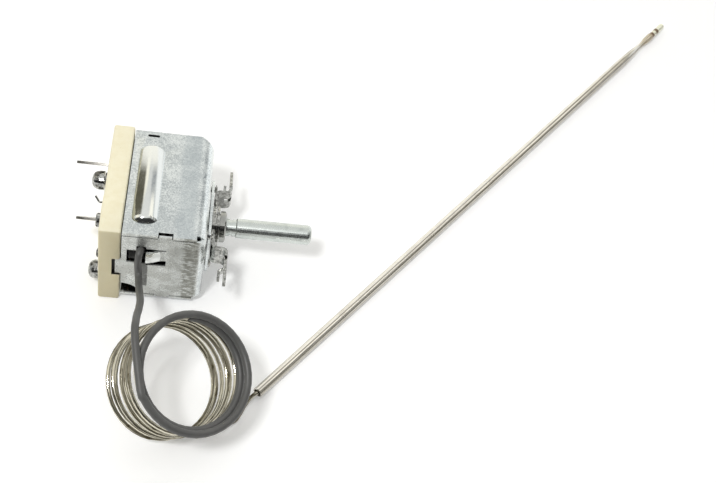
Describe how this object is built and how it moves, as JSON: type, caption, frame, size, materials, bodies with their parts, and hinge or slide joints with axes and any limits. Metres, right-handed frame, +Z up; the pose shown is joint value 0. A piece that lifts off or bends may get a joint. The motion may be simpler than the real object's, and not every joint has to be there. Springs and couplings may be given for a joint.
{
  "type": "capillary thermostat",
  "caption": "Capillary thermostat: folded steel case on a cream moulded base, control spindle with a mounting clip, tab terminals, a coiled capillary in a grey sleeve and a long thin probe.",
  "frame": {"origin": "on the surface that the part lies on, below the spindle's axis, half way through the insulating base's thickness", "axes": "+X along the spindle from the base to the spindle's end, +Z up from the surface, +Y to the back, away from the side where the capillary leaves"},
  "size_m": [0.2109, 0.2117, 0.038],
  "materials": {
    "moulded_cream": "moulded, matte",
    "zinc_sheet": "zinc plated sheet with a faint spangle",
    "bright_zinc": "bright zinc plated",
    "turned_steel": "turned, smooth",
    "tinned_brass": "tinned",
    "spring_bronze": "rolled",
    "contact_silver": "satin",
    "white_ceramic": "fired, matte",
    "capillary_metal": "drawn, bright",
    "stainless": "drawn, bright",
    "grey_sleeve": "satin"
  },
  "bodies": {
    "housing": {"insulating_base": "moulded_cream", "steel_case": "zinc_sheet", "bearing_plate": "zinc_sheet", "plate_rivet_1": "bright_zinc", "plate_rivet_2": "bright_zinc", "plate_rivet_3": "bright_zinc", "plate_rivet_4": "bright_zinc", "spacer_washer": "bright_zinc", "mounting_clip": "bright_zinc", "spindle_bushing": "turned_steel", "stop_pin": "turned_steel", "guide_bridge": "bright_zinc", "bridge_rivet_front": "bright_zinc", "bridge_rivet_back": "bright_zinc", "upper_terminal": "tinned_brass", "lower_terminal": "tinned_brass", "upper_rivet": "bright_zinc", "lower_rivet": "bright_zinc", "tab_washer": "bright_zinc", "blade_spacer": "tinned_brass", "fixed_contact": "contact_silver", "calibration_screw": "bright_zinc", "capillary_lead": "grey_sleeve", "capillary_coil": "capillary_metal", "probe_lead": "capillary_metal", "probe_tube": "stainless"},
    "spindle": {"spindle": "turned_steel", "stop_disc": "bright_zinc"},
    "carrier": {"diaphragm_carrier": "zinc_sheet", "diaphragm_capsule": "stainless", "capillary_stub": "capillary_metal"},
    "plunger": {"plunger_pin": "white_ceramic"},
    "blade": {"snap_blade": "spring_bronze", "moving_contact": "contact_silver"}
  },
  "joints": [
    {"name": "spindle_turn", "type": "hinge", "parent": "housing", "child": "spindle", "pos_m": [0.0326, 0, 0.016], "axis": [1, 0, 0], "range_deg": [0, 300]},
    {"name": "carrier_slide", "type": "slide", "parent": "housing", "child": "carrier", "axis": [1, 0, 0], "range_m": [0, 0.0008]},
    {"name": "plunger_slide", "type": "slide", "parent": "carrier", "child": "plunger", "axis": [-1, 0, 0], "range_m": [0, 0.0004], "stiffness_N_per_m": 300},
    {"name": "blade_flex", "type": "hinge", "parent": "housing", "child": "blade", "pos_m": [0.0052, -0.01034, 0.00701], "axis": [0, -0.6561, 0.7547], "range_deg": [0, 1.72]}
  ],
  "couplings": [
    {"joint": "spindle_turn", "follows": "carrier_slide", "rad_per_m": 6545},
    {"joint": "blade_flex", "follows": "plunger_slide", "rad_per_m": 72.993}
  ]
}
